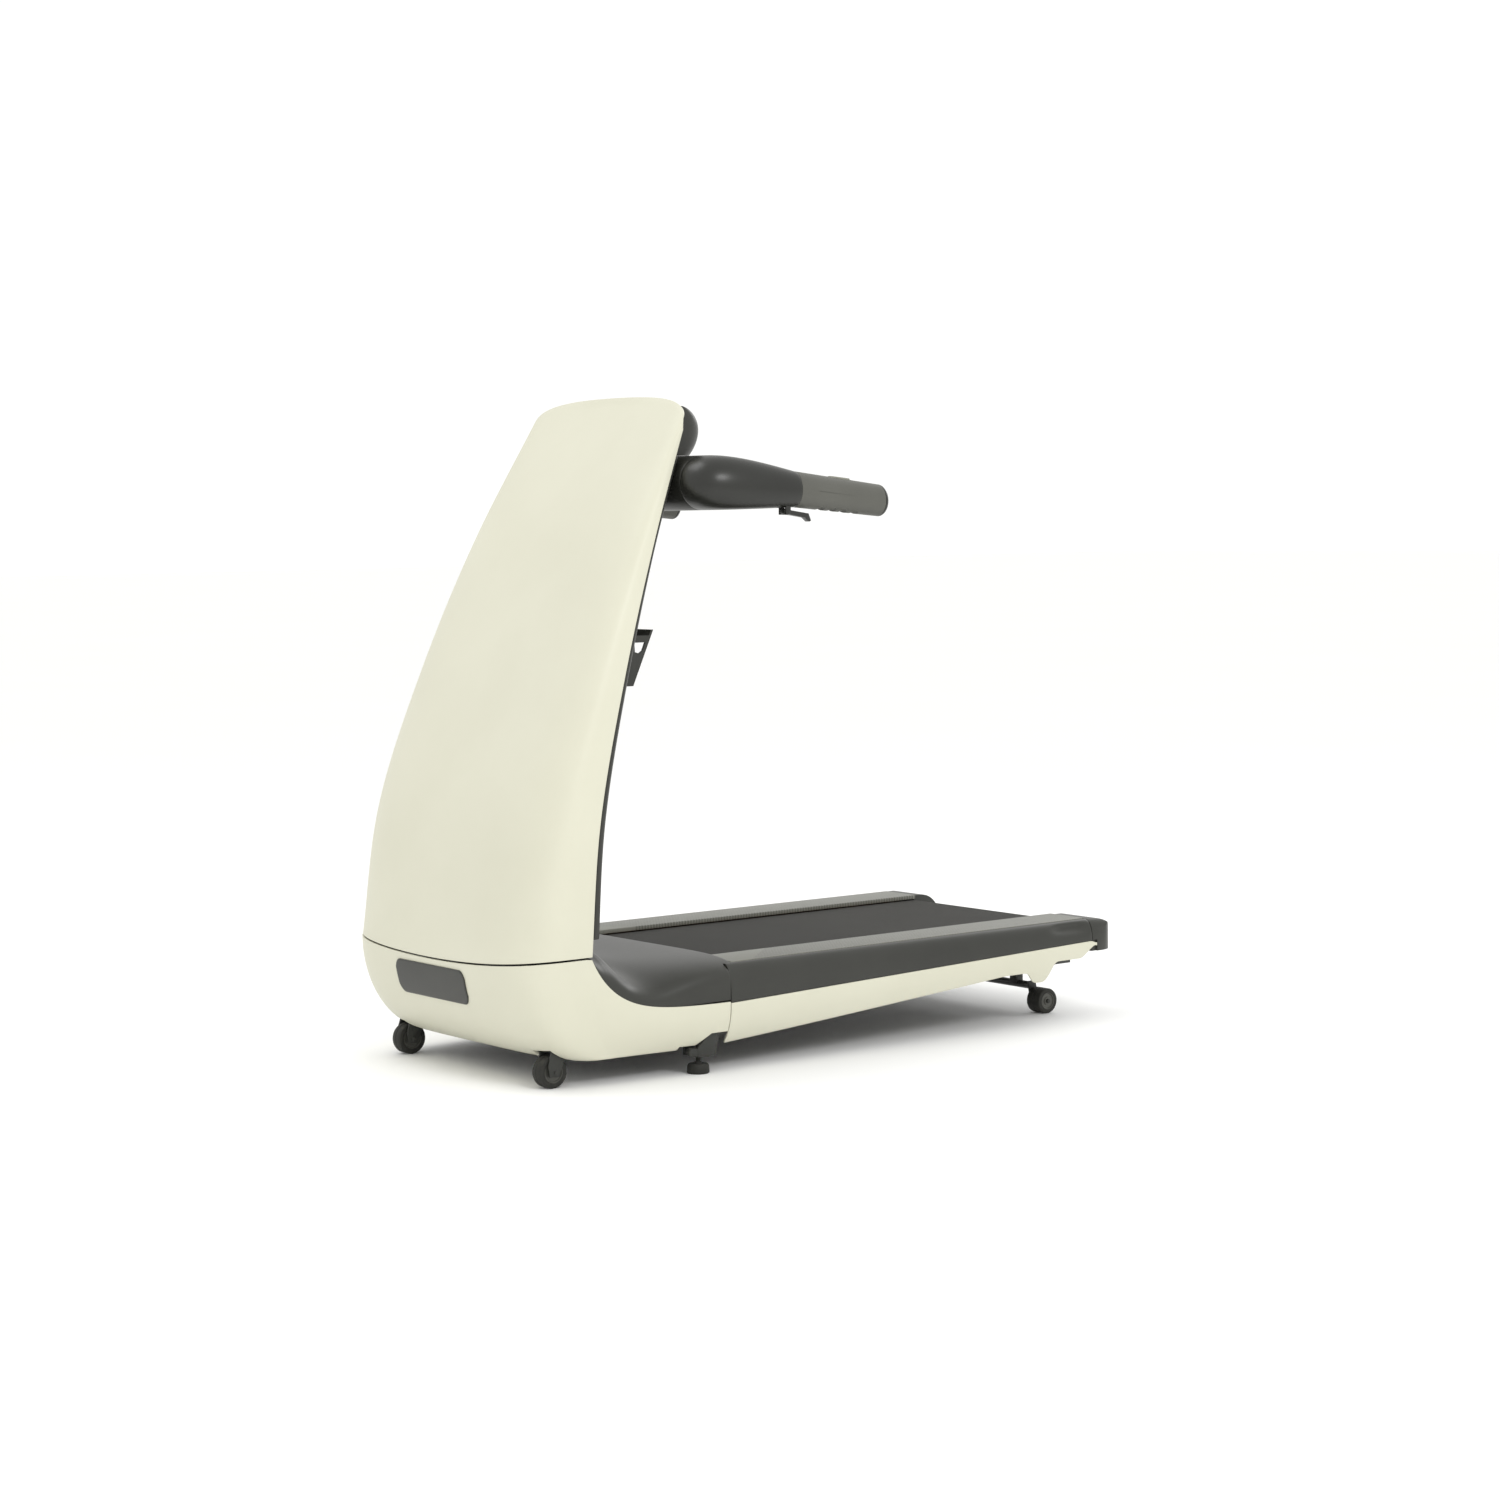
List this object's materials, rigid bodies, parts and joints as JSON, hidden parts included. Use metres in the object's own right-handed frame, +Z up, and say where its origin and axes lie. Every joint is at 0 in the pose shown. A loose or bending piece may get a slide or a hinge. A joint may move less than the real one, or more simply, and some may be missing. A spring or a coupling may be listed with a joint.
{
  "type": "folding treadmill",
  "caption": "Motorised home treadmill: flat running belt, wide curved cream mast that folds over the deck, and two curved handlebars.",
  "frame": {"origin": "on the floor under the middle of the machine", "axes": "+X to the right side, +Y along the running deck to its rear end, +Z up; the mast and nose are at -Y"},
  "size_m": [0.7534, 1.5, 1.305],
  "materials": {
    "cream_shell": "cream moulded shell, satin gloss",
    "dark_shroud": "dark warm grey moulded cover, satin",
    "handle_plastic": "near-black handle plastic, semi-gloss",
    "black_rubber": "black rubber, matte",
    "belt_weave": "black textured running belt",
    "grey_plastic": "grey ribbed anti-slip plastic",
    "red_plastic": "red plastic key",
    "deck_board": "varnished board",
    "display_glass": "smoked display window",
    "bright_steel": "turned steel",
    "black_steel": "black powder-coated steel"
  },
  "bodies": {
    "base": {"base_frame": "black_steel", "hinge_plate": "black_steel", "belly_pan": "black_steel", "nose_cover": "cream_shell", "nose_inlay": "dark_shroud", "motor_hood": "dark_shroud", "fold_shaft": "bright_steel", "deck_board": "deck_board", "running_belt": "belt_weave", "motor": "black_steel", "drive_belt": "black_rubber", "controller_box": "bright_steel", "power_inlet": "black_rubber", "rear_axle_frame": "black_steel", "side_cover_left": "dark_shroud", "skirt_left": "cream_shell", "foot_rail_left": "grey_plastic", "rear_cap_left": "dark_shroud", "front_fork_left": "black_steel", "foot_bracket_left": "black_steel", "deck_cushion_front_left": "black_rubber", "deck_cushion_rear_left": "black_rubber", "side_cover_right": "dark_shroud", "skirt_right": "cream_shell", "foot_rail_right": "grey_plastic", "rear_cap_right": "dark_shroud", "front_fork_right": "black_steel", "foot_bracket_right": "black_steel", "deck_cushion_front_right": "black_rubber", "deck_cushion_rear_right": "black_rubber"},
    "mast": {"mast_panel": "cream_shell", "mast_back": "dark_shroud", "mast_frame": "black_steel", "handle_crossbar": "handle_plastic", "console_pod": "dark_shroud", "display_lens": "display_glass", "tablet_holder": "dark_shroud"},
    "handle_left": {"handle_arm_left": "handle_plastic", "handle_grip_left": "handle_plastic", "grip_cap_left": "handle_plastic"},
    "thumb_key_left": {"grip_key_left": "grey_plastic"},
    "trigger_lever_left": {"trigger_left": "handle_plastic"},
    "front_castor_left": {"front_wheel_left": "black_rubber"},
    "rear_castor_left": {"rear_wheel_left": "black_rubber"},
    "foot_left": {"levelling_foot_left": "black_rubber"},
    "handle_right": {"handle_arm_right": "handle_plastic", "handle_grip_right": "handle_plastic", "grip_cap_right": "handle_plastic"},
    "thumb_key_right": {"grip_key_right": "grey_plastic"},
    "trigger_lever_right": {"trigger_right": "handle_plastic"},
    "front_castor_right": {"front_wheel_right": "black_rubber"},
    "rear_castor_right": {"rear_wheel_right": "black_rubber"},
    "foot_right": {"levelling_foot_right": "black_rubber"},
    "start_key": {"start_button": "grey_plastic"},
    "stop_key": {"stop_button": "red_plastic"},
    "safety_tab": {"safety_key": "red_plastic"},
    "drive_roller": {"front_roller": "bright_steel"},
    "tail_roller": {"rear_roller": "bright_steel"},
    "motor_shaft": {"motor_rotor": "bright_steel"},
    "switch_rocker": {"power_switch": "red_plastic"}
  },
  "joints": [
    {"name": "mast_fold", "type": "hinge", "parent": "base", "child": "mast", "pos_m": [0, -0.552, 0.256], "axis": [-1, 0, 0], "range_deg": [0, 68]},
    {"name": "handle_fold_left", "type": "hinge", "parent": "mast", "child": "handle_left", "pos_m": [-0.285, -0.289, 1.133], "axis": [-1, 0, 0], "range_deg": [0, 100]},
    {"name": "thumb_key_press_left", "type": "slide", "parent": "handle_left", "child": "thumb_key_left", "axis": [0, -0.1068, -0.9943], "range_m": [0, 0.002], "stiffness_N_per_m": 900},
    {"name": "trigger_pull_left", "type": "hinge", "parent": "handle_left", "child": "trigger_lever_left", "pos_m": [-0.345, -0.135, 1.076], "axis": [1, 0, 0], "range_deg": [0, 7], "stiffness_Nm_per_rad": 2},
    {"name": "front_wheel_spin_left", "type": "hinge", "parent": "base", "child": "front_castor_left", "pos_m": [-0.253, -0.643, 0.031], "axis": [1, 0, 0], "continuous": true},
    {"name": "rear_wheel_spin_left", "type": "hinge", "parent": "base", "child": "rear_castor_left", "pos_m": [-0.231, 0.64, 0.027], "axis": [1, 0, 0], "continuous": true},
    {"name": "foot_screw_left", "type": "slide", "parent": "base", "child": "foot_left", "axis": [0, 0, -1], "range_m": [0, 0.01]},
    {"name": "handle_fold_right", "type": "hinge", "parent": "mast", "child": "handle_right", "pos_m": [0.285, -0.289, 1.133], "axis": [-1, 0, 0], "range_deg": [0, 100]},
    {"name": "thumb_key_press_right", "type": "slide", "parent": "handle_right", "child": "thumb_key_right", "axis": [0, -0.1068, -0.9943], "range_m": [0, 0.002], "stiffness_N_per_m": 900},
    {"name": "trigger_pull_right", "type": "hinge", "parent": "handle_right", "child": "trigger_lever_right", "pos_m": [0.345, -0.135, 1.076], "axis": [1, 0, 0], "range_deg": [0, 7], "stiffness_Nm_per_rad": 2},
    {"name": "front_wheel_spin_right", "type": "hinge", "parent": "base", "child": "front_castor_right", "pos_m": [0.253, -0.643, 0.031], "axis": [1, 0, 0], "continuous": true},
    {"name": "rear_wheel_spin_right", "type": "hinge", "parent": "base", "child": "rear_castor_right", "pos_m": [0.231, 0.64, 0.027], "axis": [1, 0, 0], "continuous": true},
    {"name": "foot_screw_right", "type": "slide", "parent": "base", "child": "foot_right", "axis": [0, 0, -1], "range_m": [0, 0.01]},
    {"name": "start_press", "type": "slide", "parent": "mast", "child": "start_key", "axis": [0, -0.9553, -0.2955], "range_m": [0, 0.002], "stiffness_N_per_m": 900},
    {"name": "stop_press", "type": "slide", "parent": "mast", "child": "stop_key", "axis": [0, -0.9553, -0.2955], "range_m": [0, 0.002], "stiffness_N_per_m": 900},
    {"name": "safety_key_pull", "type": "slide", "parent": "mast", "child": "safety_tab", "axis": [0, 0.9553, 0.2955], "range_m": [0, 0.02]},
    {"name": "drive_roller_spin", "type": "hinge", "parent": "base", "child": "drive_roller", "pos_m": [0, -0.336, 0.1734], "axis": [1, 0, 0], "continuous": true},
    {"name": "tail_roller_spin", "type": "hinge", "parent": "base", "child": "tail_roller", "pos_m": [0, 0.664, 0.1734], "axis": [1, 0, 0], "continuous": true},
    {"name": "motor_spin", "type": "hinge", "parent": "base", "child": "motor_shaft", "pos_m": [0, -0.468, 0.15], "axis": [1, 0, 0], "continuous": true},
    {"name": "switch_rock", "type": "hinge", "parent": "base", "child": "switch_rocker", "pos_m": [-0.318, -0.378, 0.098], "axis": [0, 1, 0], "range_deg": [0, 7]}
  ],
  "couplings": [
    {"joint": "handle_fold_left", "follows": "mast_fold", "ratio": 1.47},
    {"joint": "handle_fold_right", "follows": "mast_fold", "ratio": 1.47},
    {"joint": "tail_roller_spin", "follows": "drive_roller_spin", "ratio": 1},
    {"joint": "motor_spin", "follows": "drive_roller_spin", "ratio": 1.7143}
  ]
}
